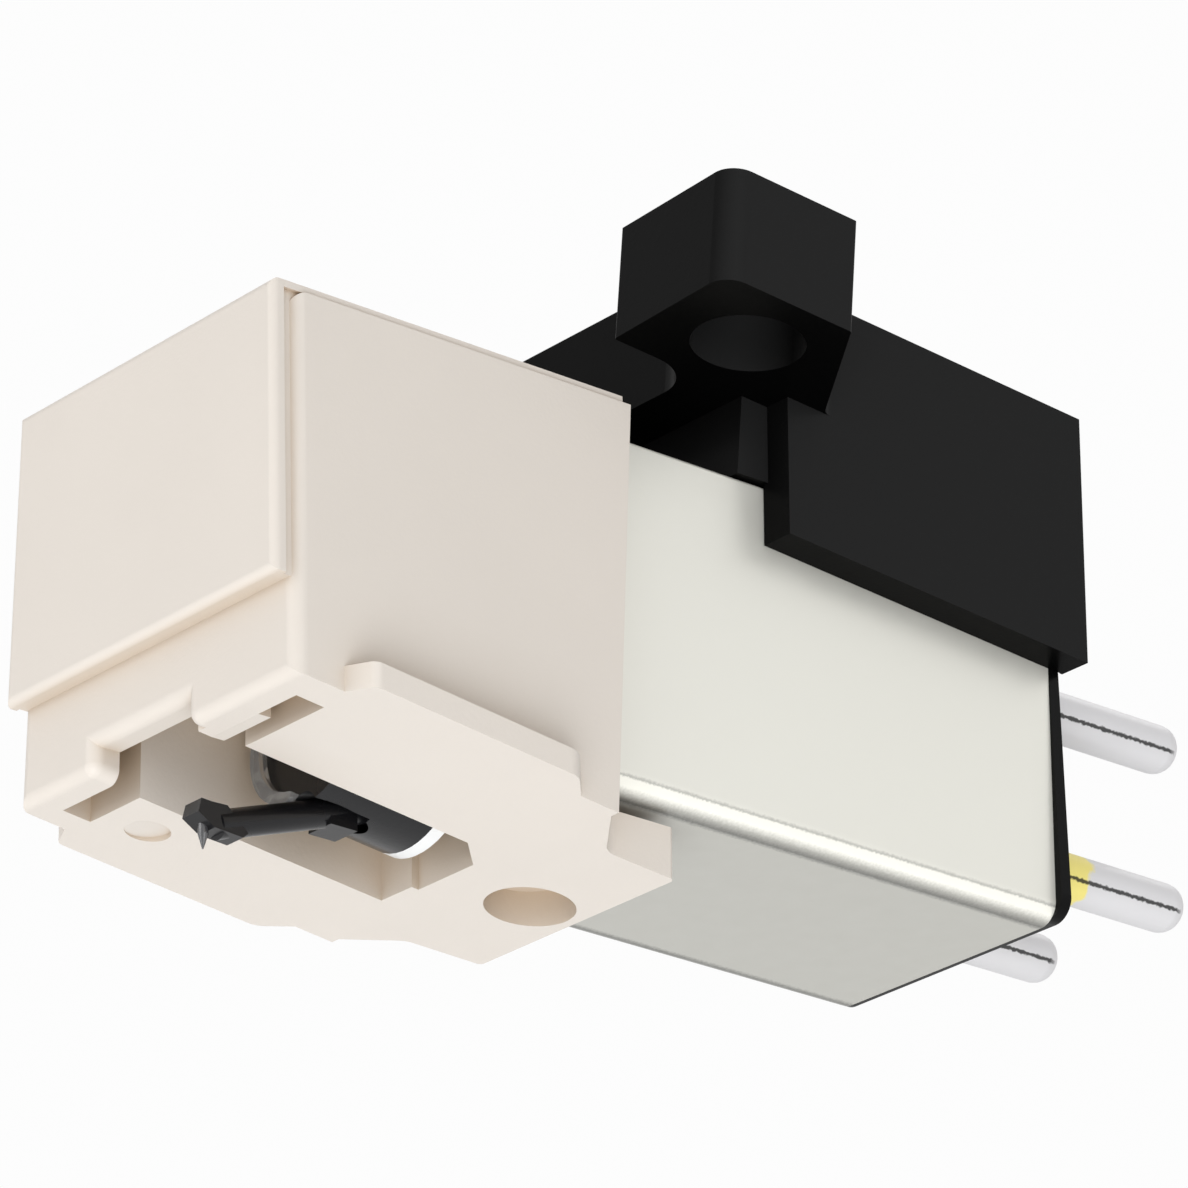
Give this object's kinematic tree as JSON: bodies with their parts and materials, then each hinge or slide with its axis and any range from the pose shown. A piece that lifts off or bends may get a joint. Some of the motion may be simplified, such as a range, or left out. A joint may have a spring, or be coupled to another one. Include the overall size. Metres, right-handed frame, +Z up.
{
  "type": "turntable stylus cartridge",
  "caption": "Moving-magnet phono cartridge with a wide black mounting bracket, a silver shield can, an ivory pull-off stylus guard and rear terminal pins.",
  "frame": {"origin": "on the mounting face, midway between the two mounting holes", "axes": "+Z up out of the mounting face towards the headshell, +Y to the rear where the terminal pins are, +X to the right along the line of the mounting holes"},
  "size_m": [0.017, 0.0309, 0.0175],
  "materials": {
    "black_plastic": "glossy black moulding",
    "silver_metal": "satin, finely speckled",
    "black_plate": "glossy black",
    "ivory_plastic": "satin ivory moulding",
    "black_moulding": "satin",
    "clear_plastic": "clear moulding",
    "white_plastic": "translucent white",
    "black_rubber": "matt",
    "black_metal": "satin black",
    "diamond": "polished",
    "grey_moulding": "matt",
    "carrier_plastic": "matt black moulding",
    "tinned_metal": "tinned, satin",
    "core_iron": "rolled sheet",
    "bobbin_plastic": "matt",
    "copper_wire": "enamelled winding",
    "magnet": "ground"
  },
  "bodies": {
    "cartridge": {"mounting_bracket": "black_plastic", "shield_can": "silver_metal", "rear_plate": "black_plate", "pin_left_upper": "tinned_metal", "pin_left_lower": "tinned_metal", "pin_right_upper": "tinned_metal", "pin_right_lower": "tinned_metal", "coil_carrier": "carrier_plastic", "pole_left_upper": "core_iron", "pole_left_lower": "core_iron", "pole_right_upper": "core_iron", "pole_right_lower": "core_iron", "yoke_left": "core_iron", "yoke_right": "core_iron", "bobbin_left_upper": "bobbin_plastic", "bobbin_left_lower": "bobbin_plastic", "bobbin_right_upper": "bobbin_plastic", "bobbin_right_lower": "bobbin_plastic", "coil_left_upper": "copper_wire", "coil_left_lower": "copper_wire", "coil_right_upper": "copper_wire", "coil_right_lower": "copper_wire"},
    "stylus": {"stylus_body": "ivory_plastic", "suspension_sleeve": "black_moulding", "front_clip": "clear_plastic", "rear_ring": "white_plastic"},
    "suspension": {"damper": "black_rubber"},
    "arm": {"cantilever": "black_metal", "stylus_tip": "diamond", "magnet_holder": "grey_moulding", "magnet_left": "magnet", "magnet_right": "magnet"}
  },
  "joints": [
    {"name": "stylus_slide", "type": "slide", "parent": "cartridge", "child": "stylus", "axis": [0, -0.9967, -0.0811], "range_m": [0, 0.008]},
    {"name": "cantilever_up_down", "type": "hinge", "parent": "stylus", "child": "suspension", "pos_m": [0, -0.00386, -0.01428], "axis": [1, 0, 0], "range_deg": [-2, 2], "stiffness_Nm_per_rad": 0.0043},
    {"name": "cantilever_side_to_side", "type": "hinge", "parent": "suspension", "child": "arm", "pos_m": [0, -0.00386, -0.01428], "axis": [0, -0.3979, 0.9174], "range_deg": [-2, 2], "stiffness_Nm_per_rad": 0.0043}
  ]
}
